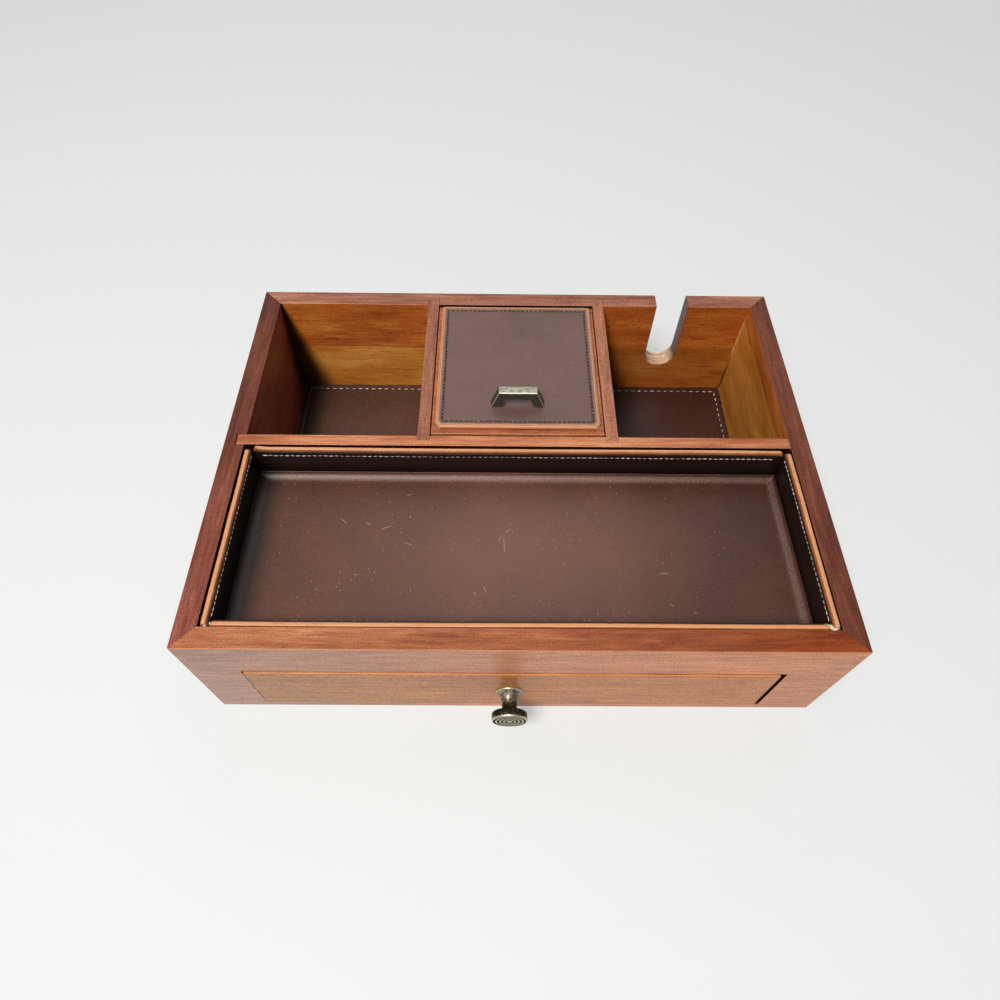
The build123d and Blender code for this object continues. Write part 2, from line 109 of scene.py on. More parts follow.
class Finish:
    """One material, mixed from procedural nodes."""

    def __init__(self, name):
        self.material = bpy.data.materials.new(name)
        self.material.use_nodes = True
        self.tree = self.material.node_tree
        self.tree.nodes.clear()
        self.place = self.node("ShaderNodeTexCoord", {}, {}, "Object")

    def node(self, kind, settings, sockets, output=0):
        """Any node: its settings first, then the values or links of its sockets."""
        made = self.tree.nodes.new(kind)
        for key, value in settings.items():
            if key == "stops":
                self.set_stops(made.color_ramp, value)
            else:
                setattr(made, key, value)
        for key, value in sockets.items():
            if isinstance(value, Wire):
                self.tree.links.new(value.socket, made.inputs[key])
            else:
                made.inputs[key].default_value = value
        return Wire(self, made.outputs[output])

    def set_stops(self, ramp, stops):
        """Stops of a colour ramp, as (place, colour)."""
        while len(ramp.elements) < len(stops):
            ramp.elements.new(0.5)
        for element, (where, colour) in zip(ramp.elements, stops):
            element.position = where
            element.color = colour

    def stretch(self, scale, shift=(0, 0, 0)):
        """The piece's own coordinates, scaled and shifted."""
        scale = scale if isinstance(scale, tuple) else (scale,) * 3
        return self.node("ShaderNodeMapping", {},
                         {"Vector": self.place, "Scale": scale, "Location": shift})

    def noise(self, scale, detail, rough, shift=(0, 0, 0), warp=0.0):
        return self.node("ShaderNodeTexNoise", {},
                         {"Vector": self.stretch(scale, shift), "Scale": 1.0, "Detail": detail,
                          "Roughness": rough, "Distortion": warp})

    def ramp(self, tone, *stops):
        """The colours of stops, as (place, colour), picked by a tone."""
        return self.node("ShaderNodeValToRGB", {"stops": stops}, {0: tone})

    def axis(self, letter):
        """One coordinate of the piece, in metres."""
        return self.node("ShaderNodeSeparateXYZ", {}, {0: self.place}, letter)

    def facing(self, letter):
        """One part of the direction that the piece's surface faces."""
        normal = self.node("ShaderNodeTexCoord", {}, {}, "Normal")
        return self.node("ShaderNodeSeparateXYZ", {}, {0: normal}, letter)

    def faces(self, letter, sign=1):
        """1 on faces that look along an axis, or with sign -1 against it."""
        return (sign * self.facing(letter)).step(0.6, 0.8)

    def blend(self, mask, low, high):
        """Colour low where the mask is 0 and high where it is 1."""
        return self.node("ShaderNodeMix", {"data_type": "RGBA"}, {0: mask, 6: low, 7: high}, 2)

    def tint(self, mask, colour, glaze):
        """The colour under a glaze where the mask is 1."""
        return self.node("ShaderNodeMix", {"data_type": "RGBA", "blend_type": "MULTIPLY"},
                         {0: mask, 6: colour, 7: glaze}, 2)

    def mark(self, middle, turn, half, sway):
        """1 inside a thin mark: its middle, turn and half sizes, bent a little by a noise."""
        bent = self.node("ShaderNodeVectorMath", {"operation": "SCALE"},
                         {0: (1, 1, 1), "Scale": (sway - 0.5) * 0.8 * MM})
        moved = self.node("ShaderNodeVectorMath", {"operation": "ADD"}, {0: self.place, 1: bent})
        local = self.node("ShaderNodeMapping", {"vector_type": "TEXTURE"},
                          {"Vector": moved, "Location": middle, "Rotation": turn, "Scale": half})
        return 1 - self.node("ShaderNodeVectorMath", {"operation": "LENGTH"}, {0: local},
                             "Value").step(0.45, 1.0)

    def dots(self, scale, shift, size):
        """1 inside round specks strewn over a level face, one in each cell."""
        spots = self.node("ShaderNodeTexVoronoi", {"voronoi_dimensions": "2D", "feature": "F1"},
                          {"Vector": self.stretch(scale, shift), "Scale": 1.0})
        return 1 - spots.step(size * 0.5, size)

    def bump(self, height, depth, strength=1.0):
        """A normal from a height of 0 to 1, depth metres deep."""
        return self.node("ShaderNodeBump", {},
                         {"Strength": strength, "Distance": depth, "Height": height}, "Normal")

    def surface(self, colour, roughness, **others):
        """The finished surface. Other sockets are named by words joined with underscores."""
        sockets = {"Base Color": colour, "Roughness": roughness}
        for key, value in others.items():
            words = key.replace("_", " ").title().replace("Ior", "IOR")
            sockets[words] = value
        shader = self.node("ShaderNodeBsdfPrincipled", {}, sockets)
        self.node_output(shader)
        return self.material

    def node_output(self, shader):
        end = self.tree.nodes.new("ShaderNodeOutputMaterial")
        self.tree.links.new(shader.socket, end.inputs["Surface"])


def grain_scale(along, lengthwise, across):
    """Scale of a pattern that runs along one axis of the box."""
    return tuple(lengthwise if letter == along else across for letter in "XYZ")


def stained_wood(name, along, dark, middle, light, pith, seed, deeper=None, golden=None,
                 glare=None, shaded=None, painted_shadow=None, cut_notch=None, pale_joint=None,
                 cross_marks=0.0, cracks=(), lacquer=0.4):
    """Planed and stained wood whose grain runs along one axis.

    pith is where the middle of the tree was, across the grain and in height. deeper is an
    axis, the two places between which the stain gets darker on top, and its glaze. golden is
    a test of the inner side, and the height up to which the wood is golden there; in the right
    well its faces are duller and darker, painted shade. haze is a painted reflection of the
    bright room on the upright faces: its colour at the left and at the right. shaded is a test
    of narrow gaps and hidden faces where shade is painted dark, and grime one of deep corners
    where a shadow is painted dark. cut_notch is the middle, radius and round's height of the
    sawn notch.
    pale_joint is the place on X where the stain missed a corner. cracks are short dark lines,
    each its middle, turn and half length on the front face.
    """
    wood = Finish(name)
    side = "Y" if along == "X" else "X"
    shift = (seed * 1.7, seed * 0.9, seed * 1.3)
    sway = wood.noise(grain_scale(along, 7, 24), 2, 0.5, shift)
    cloud = wood.noise(grain_scale(along, 14, 55), 4, 0.6, shift)
    fibre = wood.noise(grain_scale(along, 40, 560), 4, 0.7, shift)
    streaks = wood.noise(grain_scale(along, 60, 800), 1, 0.5, shift)
    flecks = wood.noise((1500, 1500, 700), 2, 0.8, shift)

    out = wood.axis(side) - pith[0] + (sway - 0.5) * 0.016
    up = wood.axis("Z") - pith[1] + (sway - 0.5) * 0.012
    ring = ((out * out + up * up) ** 0.5) / 0.0046 + cloud * 2.2
    late = ring.sum("FRACT", ring) ** 5

    tone = 0.5 + (cloud - 0.5) * 1.0 + (fibre - 0.5) * 1.1 + (flecks - 0.5) * 1.2 - late * 0.13
    colour = wood.ramp(tone, (0.1, dark), (0.5, middle), (0.9, light))
    standing = 1 - abs(wood.facing("Z")).step(0.3, 0.7)
    if golden:
        test, gold_height = golden
        height = wood.axis("Z") + (sway - 0.5) * 0.010 + (fibre - 0.5) * 0.003
        inside = test(wood) * standing
        low = inside * (1 - height.step(gold_height - 1.2 * MM, gold_height + 1.2 * MM))
        band = 0.5 + (cloud - 0.5) * 1.5 + (fibre - 0.5) * 0.6 + (flecks - 0.5) * 0.9
        upper = wood.ramp(band, (0.1, paint(150, 66, 20)), (0.5, paint(192, 101, 38)),
                          (0.9, paint(224, 146, 62)))
        lower = wood.ramp(band, (0.1, paint(168, 98, 26)), (0.5, paint(206, 134, 48)),
                          (0.9, paint(228, 168, 84)))
        colour = wood.blend(low, wood.blend(inside, colour, upper), lower)
        # Painted shade: in the right well the back board's inner face is duller, its golden lower
        # part darker and its tide line fainter.
        right_well_shade = wood.axis("X").step(30 * MM, 60 * MM) * wood.faces("Y", -1)
        border = (1 - abs(height - gold_height).step(0.1 * MM, 1.0 * MM)) * (1 - right_well_shade * 0.8)
        colour = wood.tint(border * inside * 0.45, colour, paint(150, 105, 90))
        colour = wood.tint(streaks.step(0.6, 0.72) * inside * 0.4, colour, paint(150, 108, 92))
        colour = wood.tint(right_well_shade * inside * 0.2, colour, paint(196, 168, 150))
        colour = wood.tint(right_well_shade * low * 0.75, colour, paint(196, 160, 140))
    if deeper:
        axis, start, end, glaze = deeper
        far = (wood.axis(axis) + (cloud - 0.5) * 0.07 - start) / (end - start)
        colour = wood.tint(far.least(1).most(0) * (1 - standing), colour, glaze)
    colour = wood.tint(streaks.step(0.6, 0.78) * 0.25, colour, paint(150, 118, 104))
    if cross_marks:
        marks = wood.noise(grain_scale(side, 110, 1300), 2, 0.6, shift)
        colour = wood.tint(marks.step(0.45, 0.7) * cross_marks, colour, paint(140, 112, 104))
    rubbed = (1 - abs(wood.facing("X")).most(abs(wood.facing("Y"))).most(abs(wood.facing("Z"))))
    colour = wood.blend(rubbed.step(0.03, 0.2) * 0.6, colour, light)
    # Painted reflection: upright faces are mixed towards a pale glare of the bright room, less on
    # the right, with a fine grey tint.
    if glare:
        at = (wood.axis("X") + (cloud - 0.5) * 0.1).step(-0.2, 0.15)
        glare_colour = wood.blend(at, *glare)
        share = 0.67 - wood.axis("X").step(0.11, 0.16) * 0.3
        colour = wood.blend(standing * share, colour, glare_colour)
        fine = (0.62 - fibre * 0.5 - flecks * 0.5).step(0, 0.25)
        colour = wood.tint(fine * standing * 0.7, colour, paint(180, 160, 146))
    coat = (0.15 + standing * 0.85) * lacquer
    # Painted shade: narrow gaps and faces hidden in them are tinted almost black and lose their
    # lacquer.
    if shaded:
        overlay = shaded(wood)
        colour = wood.tint(overlay, colour, paint(52, 38, 32))
        coat = (1 - overlay) * coat
    if cut_notch:
        middle_x, radius, round_z = cut_notch
        off_x = wood.axis("X") - middle_x
        below = (wood.axis("Z") - round_z).least(0)
        away = (off_x * off_x + below * below) ** 0.5
        bare = 1 - away.step(radius + 0.15 * MM, radius + 0.5 * MM)
        pale = wood.blend(fibre.step(0.3, 0.7), paint(176, 128, 96), paint(232, 200, 168))
        low = (0 - below / radius).step(0.1, 0.75)
        overlay = wood.blend(low, wood.blend(fibre, paint(80, 48, 34), paint(118, 78, 58)), pale)
        colour = wood.blend(bare, colour, overlay)
        coat = (1 - bare) * coat
    if pale_joint:
        ragged = wood.noise((10, 10, 210), 3, 0.7, shift)
        edge = wood.axis("X") + (ragged - 0.5) * 2.6 * MM
        high = wood.axis("Z").step(36 * MM, 44 * MM) * (1 - wood.axis("Z").step(66 * MM, 76 * MM))
        inner_side = wood.faces("Y", -1)
        seam = edge.step(pale_joint - 1.1 * MM, pale_joint - 0.6 * MM) * inner_side
        colour = wood.blend(seam * high * 0.8, colour, paint(214, 168, 116))
        colour = wood.blend(seam * (1 - wood.axis("Z").step(30 * MM, 36 * MM)), colour,
                            paint(52, 30, 14))
    for x, z, turn, half in cracks:
        crack = wood.mark((x * MM, 0, z * MM), (0, math.radians(turn), 0),
                          (half * MM, 1, 0.28 * MM), fibre)
        colour = wood.blend(crack * 0.75, colour, paint(84, 46, 26))
    # Painted shadow: deep corners are tinted almost black and lose their lacquer.
    if painted_shadow:
        dark_corner = painted_shadow(wood)
        colour = wood.tint(dark_corner * 0.95, colour, paint(34, 22, 18))
        coat = (1 - dark_corner) * coat
    normal = wood.bump(fibre * 0.6 + flecks * 0.4, 0.14 * MM, 0.5)
    return wood.surface(colour, 0.36 + fibre * 0.18, normal=normal, specular_ior_level=0.25,
                        coat_weight=coat, coat_roughness=0.24)


def dress(node, material):
    """Give a carried-over piece its finish."""
    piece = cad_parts[node]
    for place in piece.material_slots:
        place.material = material
    if not piece.material_slots:
        piece.data.materials.append(material)
    return piece


notch_x, notch_radius, notch_round = 99.5 * MM, 10 * MM, 40 * MM
rim_z, well_x, well_y, divider_x = 81 * MM, 149 * MM, 109.5 * MM, 54 * MM


def window_sides(wood):
    """The sawn sides of the drawer's window, which get painted shade."""
    return abs(wood.facing("X")).step(0.6, 0.8) * (1 - abs(wood.axis("X")).step(0.136, 0.137))


def beside_tray(wood):
    """The inner sides next to the tray's walls, which get painted shade."""
    inner = 1 - abs(wood.axis("X")).step(0.1535, 0.1545)
    return abs(wood.facing("X")).step(0.6, 0.8) * inner * (1 - wood.axis("Y").step(-0.005, -0.003))


def painted_corner_shadow(wood):
    """A painted shadow of the left sides in the deep left corners of both open wells, on the back
    board and on the left board.
    """
    depth = rim_z - wood.axis("Z")
    fade = depth * 0.2 + 2 * MM
    first = (wood.axis("X") + well_x - depth * 0.13) / fade
    second = (wood.axis("X") - divider_x - (depth - 15 * MM) * 0.26) / fade
    right_half = wood.axis("X").step(0.05, 0.051)
    on_back = ((1 - first.step(0, 1)) + (1 - second.step(0, 1)) * right_half).least(1)
    on_back = on_back * wood.faces("Y", -1)
    on_side = 1 - ((well_y - wood.axis("Y")) / (depth * 0.42 + 2 * MM)).step(0, 1)
    on_side = on_side * wood.faces("X")
    return on_back.most(on_side) * (1 - wood.axis("Y").step(0.1125, 0.1135))


def behind_lid(wood):
    """The back board's inner side behind the lid, which gets painted shade."""
    middle = 1 - abs(wood.axis("X")).step(0.0525, 0.0535)
    return wood.faces("Y", -1) * middle


# The front board's upright faces get a painted reflection of the bright room, and its window's
# sides painted shade.
dress("front_board", stained_wood("front_board_wood", "X", paint(126, 66, 40), paint(182, 112, 74),
                                  paint(222, 160, 112), (-0.15, -0.08), 1.0,
                                  glare=(paint(180, 148, 132), paint(246, 156, 96)),
                                  shaded=window_sides, lacquer=0.34,
                                  deeper=("X", -0.13, 0.15, paint(188, 134, 88))))
# The back board gets a painted shadow in the left corners of both open wells, and painted shade
# behind the lid and in the right well.
dress("back_board", stained_wood("back_board_wood", "X", paint(104, 56, 42), paint(158, 100, 78),
                                 paint(198, 140, 110), (0.17, 0.10), 2.3,
                                 golden=(lambda wood: 1 - wood.axis("Y").step(0.1135, 0.1145),
                                         45 * MM),
                                 painted_shadow=painted_corner_shadow, shaded=behind_lid,
                                 cut_notch=(notch_x, notch_radius, notch_round),
                                 pale_joint=well_x))
# The left board gets painted shade beside the tray and a painted shadow in its back corner.
dress("left_board", stained_wood("left_board_wood", "Y", paint(90, 42, 34), paint(146, 78, 62),
                                 paint(184, 112, 92), (-0.21, 0.11), 4.1, shaded=beside_tray,
                                 painted_shadow=painted_corner_shadow, cross_marks=0.25, lacquer=0.25,
                                 deeper=("Y", -0.14, 0.02, paint(190, 186, 170))))
# The right board gets painted shade on its inner side next to the tray.
dress("right_board", stained_wood("right_board_wood", "Y", paint(66, 30, 20), paint(106, 54, 38),
                                  paint(142, 82, 58), (0.20, -0.05), 5.6, shaded=beside_tray,
                                  cross_marks=0.2,
                                  golden=(lambda wood: (1 - wood.axis("X").step(0.153, 0.154))
                                          * wood.axis("Y").step(-0.001, 0.001), 70 * MM)))


# ------------------------------------------------------------------ cross board and dividers
# Thinner boards of the same wood, let into the case. Their tops are level with the rim.
# The cross board's front face, hidden behind the tray, gets painted shade.
dress("cross_board", stained_wood("cross_board_wood", "X", paint(138, 72, 40), paint(188, 113, 76),
                                  paint(224, 158, 112), (-0.10, 0.13), 7.2,
                                  shaded=lambda wood: wood.faces("Y", -1)))
dress("divider_left", stained_wood("divider_wood_left", "Y", paint(112, 62, 46),
                                   paint(162, 102, 78), paint(198, 140, 112), (-0.02, 0.15), 8.4,
                                   cross_marks=0.2))
dress("divider_right", stained_wood("divider_wood_right", "Y", paint(122, 68, 48),
                                    paint(178, 114, 86), paint(212, 150, 120), (0.09, 0.15), 9.9,
                                    cross_marks=0.2))


# ------------------------------------------------------------------ hidden woodwork
# Plywood under the case, the tray and the drawer, and unfinished strips beside the drawer and
# under the lid's front edge. They had one thin coat of stain or none.
def plain_wood(name, along, seed):
    """Sanded wood or plywood with little stain."""
    wood = Finish(name)
    shift = (seed, seed * 0.7, seed * 1.9)
    broad = wood.noise(grain_scale(along, 5, 50), 3, 0.5, shift, 0.5)
    fine = wood.noise(grain_scale(along, 40, 900), 3, 0.6, shift)
    tone = broad * 0.7 + fine * 0.4 - 0.05
    colour = wood.ramp(tone, (0.25, paint(140, 96, 58)), (0.5, paint(178, 134, 90)),
                       (0.8, paint(206, 166, 120)))
    return wood.surface(colour, 0.6 + fine * 0.15, normal=wood.bump(fine, 0.1 * MM, 0.5))


for node, along, seed in (("bottom_panel", "X", 1.1), ("tray_shelf", "X", 2.2),
                          ("drawer_guide_left", "Y", 3.3), ("drawer_guide_right", "Y", 4.4),
                          ("lid_rest_strip", "X", 5.5), ("drawer_bottom", "X", 6.6),
                          ("drawer_back", "X", 7.7), ("drawer_side_left", "Y", 8.8),
                          ("drawer_side_right", "Y", 9.9)):
    dress(node, plain_wood(node + "_wood", along, seed))


# ------------------------------------------------------------------ pins and screws
# The screws of knob and handle are zinc plated steel. The two pins that the lid turns on are
# plain steel, painted dark for the shade of the gap that they sit in.
def steel(name, dark, light, roughness):
    """Steel with a slightly cloudy surface."""
    metal = Finish(name)
    cloud = metal.noise(900, 3, 0.6)
    return metal.surface(metal.blend(cloud, dark, light), roughness + cloud * 0.2, metallic=1.0)


plated_steel = steel("plated_steel", paint(150, 150, 152), paint(196, 196, 198), 0.28)
gap_dark_steel = steel("gap_dark_steel", paint(52, 46, 42), paint(84, 76, 70), 0.5)
for node, finish in (("lid_handle_screws", plated_steel), ("drawer_knob_screw", plated_steel),
                     ("hinge_pin_left", gap_dark_steel), ("hinge_pin_right", gap_dark_steel)):
    dress(node, finish)


# ------------------------------------------------------------------ tray floor
# Thin board covered with smooth espresso leather, which is soft at the edges: it turns up
# against the walls in a narrow hollow. Years of keys left fine scratches and dust.
def espresso_leather(name, deep, worn, seed, roughness=0.42, dust=0.5, scratches=(), edge=None,
                     rubbed_and_highlit=None, painted_shadow=None, sheen=0.5):
    """Smooth dark leather with a fine grain, scratches and dust.

    scratches are the middle, turn and half length of each, on a level face. edge gives the
    colour again where the hide's edge shows, or where light or shade is painted on it.
    polished is a test of where it is rubbed light, by wear and a painted highlight, and grime
    one of where a shadow is painted dark. sheen is how much light its surface throws back.
    """
    hide = Finish(name)
    shift = (seed, seed * 1.3, seed * 0.7)
    cloud = hide.noise(16, 4, 0.6, shift)
    grain = hide.noise(1500, 3, 0.8, shift)
    pebble = hide.node("ShaderNodeTexVoronoi", {"feature": "SMOOTH_F1"},
                       {"Vector": hide.stretch(900, shift), "Scale": 1.0})
    tone = 0.5 + (cloud - 0.5) * 1.2 + (grain - 0.5) * 2.6
    colour = hide.blend(tone.least(1).most(0), deep, worn)
    # Wear and a painted highlight: lighter where the test gives it.
    if rubbed_and_highlit:
        colour = hide.blend(rubbed_and_highlit(hide) * (0.25 + (grain - 0.5) * 1.6).most(0), colour,
                            paint(170, 134, 122))
    for x, y, turn, half in scratches:
        scratch = hide.mark((x * MM, y * MM, 0), (0, 0, math.radians(turn)),
                            (half * MM, 0.24 * MM, 1), cloud)
        colour = hide.blend(scratch * 0.65, colour, paint(196, 166, 150))
    where = hide.noise(34, 2, 0.6, (seed, 3, 8))
    speck = hide.dots(120, shift, 0.03) * where.step(0.45, 0.6)
    speck = speck.most(hide.dots(340, shift, 0.07) * where.step(0.56, 0.7) * 0.5)
    colour = hide.blend(speck * dust, colour, paint(226, 206, 190))
    if edge:
        colour = edge(hide, colour)
    # Painted shadow: darker where the test gives it.
    if painted_shadow:
        colour = hide.tint(painted_shadow(hide) * 0.92, colour, paint(56, 44, 40))
    normal = hide.bump(grain * 0.6 + pebble * 0.4, 0.08 * MM, 0.6)
    return hide.surface(colour, roughness + grain * 0.14, normal=normal,
                        specular_ior_level=sheen)


def finish_mesh(name, bm, body, materials, node=None):
    """A finished piece from a bmesh, riding on its body and standing for its node."""
    mesh = bpy.data.meshes.new(name)
    bm.to_mesh(mesh)
    bm.free()
    for face in mesh.polygons:
        face.use_smooth = True
    for material in materials:
        mesh.materials.append(material)
    piece = bpy.data.objects.new(name, mesh)
    bpy.context.scene.collection.objects.link(piece)
    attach(piece, body)
    if node:
        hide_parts(node)
    return piece


def slab(bm, low, high):
    """A block between two corners. Returns its vertices."""
    size = [b - a for a, b in zip(low, high)]
    middle = [(a + b) / 2 for a, b in zip(low, high)]
    place = Matrix.Translation(middle) @ Matrix.Diagonal((*size, 1))
    return bmesh.ops.create_cube(bm, size=1, matrix=place)["verts"]


def cut_at(bm, axis, places):
    """Cross cuts at places along one axis."""
    for place in places:
        point, normal = [0, 0, 0], [0, 0, 0]
        point[axis], normal[axis] = place, 1
        geom = bm.verts[:] + bm.edges[:] + bm.faces[:]
        bmesh.ops.bisect_plane(bm, geom=geom, plane_co=point, plane_no=normal)


def soft_block(low, high, from_edge, clips, rise):
    """A block whose top is shaped by its distance from the edge.

    from_edge lists where cuts run beside each edge, clips how much is cut off the front and
    back corners, and rise gives the height of the top over the block's own, at a distance
    from the edge and a place along it.
    """
    bm = bmesh.new()
    slab(bm, low, high)
    for axis in (0, 1):
        cuts = [low[axis] + inset for inset in from_edge]
        cuts += [high[axis] - inset for inset in from_edge]
        first, last = low[axis] + from_edge[-1], high[axis] - from_edge[-1]
        count = max(2, round((last - first) / (9 * MM)))
        cut_at(bm, axis, cuts + [first + (last - first) * k / count for k in range(1, count)])
    for vert in bm.verts:
        x, y, z = vert.co
        side_x = 1 if x > (low.x + high.x) / 2 else -1
        side_y = 1 if y > (low.y + high.y) / 2 else -1
        from_x = min(x - low.x, high.x - x)
        from_y = min(y - low.y, high.y - y)
        past = (clips[side_y] - from_x - from_y) / 2
        if past > 0:
            vert.co.x -= side_x * past
            vert.co.y -= side_y * past
        if z > high.z - 0.01 * MM:
            corner = (from_x + from_y - clips[side_y]) / math.sqrt(2)
            inward = max(0.0, min(from_x, from_y, corner))
            vert.co.z += rise(inward, x if from_y < from_x else y)
    return bm


tray_scratches = ((-9.5, -48.8, 60, 3.4), (-7.3, -52.7, -86, 6.8), (-5.4, -44.1, 38, 3.1),
                  (-58.2, -52.6, -22, 3.4), (-17.1, -79.4, -58, 2.2), (-22.2, -81.1, -64, 1.4),
                  (-80.6, -40.0, -29, 2.2), (-70.9, -42.4, 23, 4.2), (-94.1, -38.5, -42, 3.0),
                  (75.8, -69.2, 7, 3.6), (77.5, -87.1, -44, 1.7), (88.8, -91.4, -30, 1.3),
                  (-59.8, -21.1, 23, 1.8), (-84.0, -71.0, -15, 1.2))


def hollow_wear_and_highlight(hide):
    """Where the leather is rubbed light, and lighter still by a painted highlight of the hollow's
    sheen, low in the hollow that runs round the tray floor.
    """
    above = hide.axis("Z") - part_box("tray_floor")[1].z
    return above.step(0.02 * MM, 0.4 * MM) * (1 - above.step(1.2 * MM, 2.4 * MM))


def tray_painted_shade(hide):
    """A painted shadow of the left wall along the tray floor's left edge, and darker towards the
    right end.
    """
    return (1 - (hide.axis("X") + 0.1445).step(0.003, 0.018)).most(
        hide.axis("X").step(0.03, 0.14) * 0.38)


def painted_middle_sheen(hide, colour):
    """A painted highlight of the room's sheen over the tray floor's middle."""
    off_x, off_y = hide.axis("X") / 0.15, (hide.axis("Y") + 0.058) / 0.07
    off = (off_x * off_x + off_y * off_y) ** 0.5
    return hide.blend((1 - off.step(0.0, 1.0)) * 0.3, colour, paint(158, 114, 98))


# The tray floor's light middle is a painted highlight, the pale band in its hollow is wear with a
# painted highlight, and its dark left edge is a painted shadow.
tray_leather = espresso_leather("tray_leather", paint(52, 23, 14), paint(106, 63, 46), 1.0,
                                dust=0.8, scratches=tray_scratches, rubbed_and_highlit=hollow_wear_and_highlight,
                                edge=painted_middle_sheen, painted_shadow=tray_painted_shade)


def tray_floor():
    low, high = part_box("tray_floor")
    hollow, height = 5.6 * MM, 3.6 * MM
    steps = [hollow * (1 - math.cos(math.pi / 2 * k / 9)) for k in range(1, 10)]
    rng = random.Random(3)
    sway = wave(rng, high.x - low.x, 0.5 * MM)

    def rise(inward, along):
        reach = hollow + sway(along)
        if inward >= reach:
            return 0.0
        return height * (1 - math.sqrt(1 - (1 - inward / reach) ** 2))

    bm = soft_block(low, high, steps + [6 * MM, 9 * MM], {1: 0, -1: 0}, rise)
    finish_mesh("tray_floor_leather", bm, "case", [tray_leather], "tray_floor")


def wave(rng, length, size):
    """A gentle unevenness along a length, as a function of place."""
    parts = [(size * rng.uniform(0.3, 1) / k, 2 * math.pi * k / length * rng.uniform(0.8, 1.3),
              rng.uniform(0, 6)) for k in (1, 2, 3, 5)]
    return lambda place: sum(a * math.sin(b * place + c) for a, b, c in parts)


tray_floor()


# ------------------------------------------------------------------ tray walls
# Two layers each: a thick outer one of tan leather folded over the top edge, and a thin
# espresso sheet stitched to it a little lower. The walls meet in open corners.
def tan_leather():
    """Tan leather at a folded edge, pale on its crown by a painted highlight and darker on its
    sides by painted shade.
    """
    light, deep = paint(216, 152, 104), paint(150, 84, 44)
    hide = Finish("tan_edge_leather")
    cloud = hide.noise(90, 4, 0.65)
    grain = hide.noise(900, 3, 0.6)
    # Painted highlight: faces that look up are pale and the sides darker.
    up = hide.facing("Z").step(0.72, 1.0) + (cloud - 0.5) * 1.0 + (grain - 0.5) * 0.9
    colour = hide.blend(up.least(1).most(0), deep, light)
    return hide.surface(colour, 0.38 + grain * 0.15, normal=hide.bump(grain, 0.1 * MM, 0.6))


def raw_board():
    """Cream board showing where the leather ends."""
    core = Finish("core_board")
    fibre = core.noise(700, 4, 0.7)
    colour = core.blend(fibre, paint(206, 188, 150), paint(246, 236, 212))
    return core.surface(colour, 0.85, normal=core.bump(fibre, 0.2 * MM, 0.6))


tan_edge = tan_leather()
# Painted shade on the wall faces that look right, the left wall's inner side among them.
wall_leather = espresso_leather("wall_leather", paint(14, 6, 5), paint(40, 20, 15), 3.0,
                                dust=0.15, sheen=0.3,
                                painted_shadow=lambda hide: hide.faces("X"))
core_board = raw_board()
wall_outer, wall_step, wall_spread = 2.5 * MM, 1.4 * MM, 0.4 * MM


def round_top(bm, verts, side, axis, top, radius, segments):
    """Roll over one long top edge of a sheet, the one that lies in the wide face at side."""
    across = 1 - axis
    edges = {edge for vert in verts if vert.is_valid for edge in vert.link_edges
             if all(abs(end.co.z - top) < 1e-6 and abs(end.co[across] - side) < 1e-6
                    for end in edge.verts)}
    bmesh.ops.bevel(bm, geom=list(edges), offset=radius, segments=segments, profile=0.5,
                    affect="EDGES", material=-1)


def tray_wall(side, seed, short_back=0.0):
    """One wall, from its node's box. Its outer layer is the one next to the case."""
    low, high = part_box("tray_wall_" + side)
    axis = 1 if side in ("left", "right") else 0
    across = 1 - axis
    outside_low = side in ("left", "front")
    split = low[across] + wall_outer if outside_low else high[across] - wall_outer
    spread = 0.0 if side == "back" else wall_spread
    bm = bmesh.new()
    outer_low, outer_high = low.copy(), high.copy()
    inner_low, inner_high = low.copy(), high.copy()
    outer_high[axis] -= short_back
    inner_high[axis] -= short_back
    if outside_low:
        outer_high[across], inner_low[across] = split, split - 0.3 * MM
        outer_low[across] -= spread
    else:
        outer_low[across], inner_high[across] = split, split + 0.3 * MM
        outer_high[across] += spread
    inner_high.z -= wall_step
    next_to_case = outer_low[across] if outside_low else outer_high[across]
    verts = slab(bm, outer_low, outer_high)
    round_top(bm, verts, split, axis, high.z, 1.5 * MM, 6)
    round_top(bm, bm.verts[:], next_to_case, axis, high.z, 0.7 * MM, 4)
    outer_faces = set(bm.faces)
    verts = slab(bm, inner_low, inner_high)
    inside = inner_high[across] if outside_low else inner_low[across]
    round_top(bm, verts, inside, axis, inner_high.z, 0.25 * MM, 2)
    for face in bm.faces:
        face.material_index = 0 if face in outer_faces else 1
    count = 30 if axis == 0 else 12
    ends = [low[axis] + d * MM for d in (0.3, 0.8, 1.6, 3, 5)]
    ends += [high[axis] - short_back - d * MM for d in (0.3, 0.8, 1.6, 3, 5)]
    cut_at(bm, axis, ends + [low[axis] + (high[axis] - low[axis]) * k / count
                             for k in range(1, count)])
    rng = random.Random(seed)
    length = high[axis] - low[axis]
    sway, lift = wave(rng, length, 0.14 * MM), wave(rng, length, 0.12 * MM)
    for vert in bm.verts:
        height = (vert.co.z - low.z) / (high.z - low.z)
        vert.co[across] += sway(vert.co[axis]) * max(0.0, height)
        if height > 0.85:
            from_end = min(vert.co[axis] - low[axis], high[axis] - short_back - vert.co[axis])
            droop = 1.1 * MM * max(0.0, 1 - from_end / (1.8 * MM)) ** 2
            vert.co.z += min(0.0, lift(vert.co[axis])) - droop
            if side == "back":
                curl = max(0.0, 1 - (vert.co.x - low.x) / (9 * MM)) ** 2
                vert.co.y += 0.8 * MM * curl
                vert.co.z += 0.5 * MM * curl - 0.9 * MM * curl ** 4
    finish_mesh("tray_wall_leather_" + side, bm, "case", [tan_edge, wall_leather],
                "tray_wall_" + side)


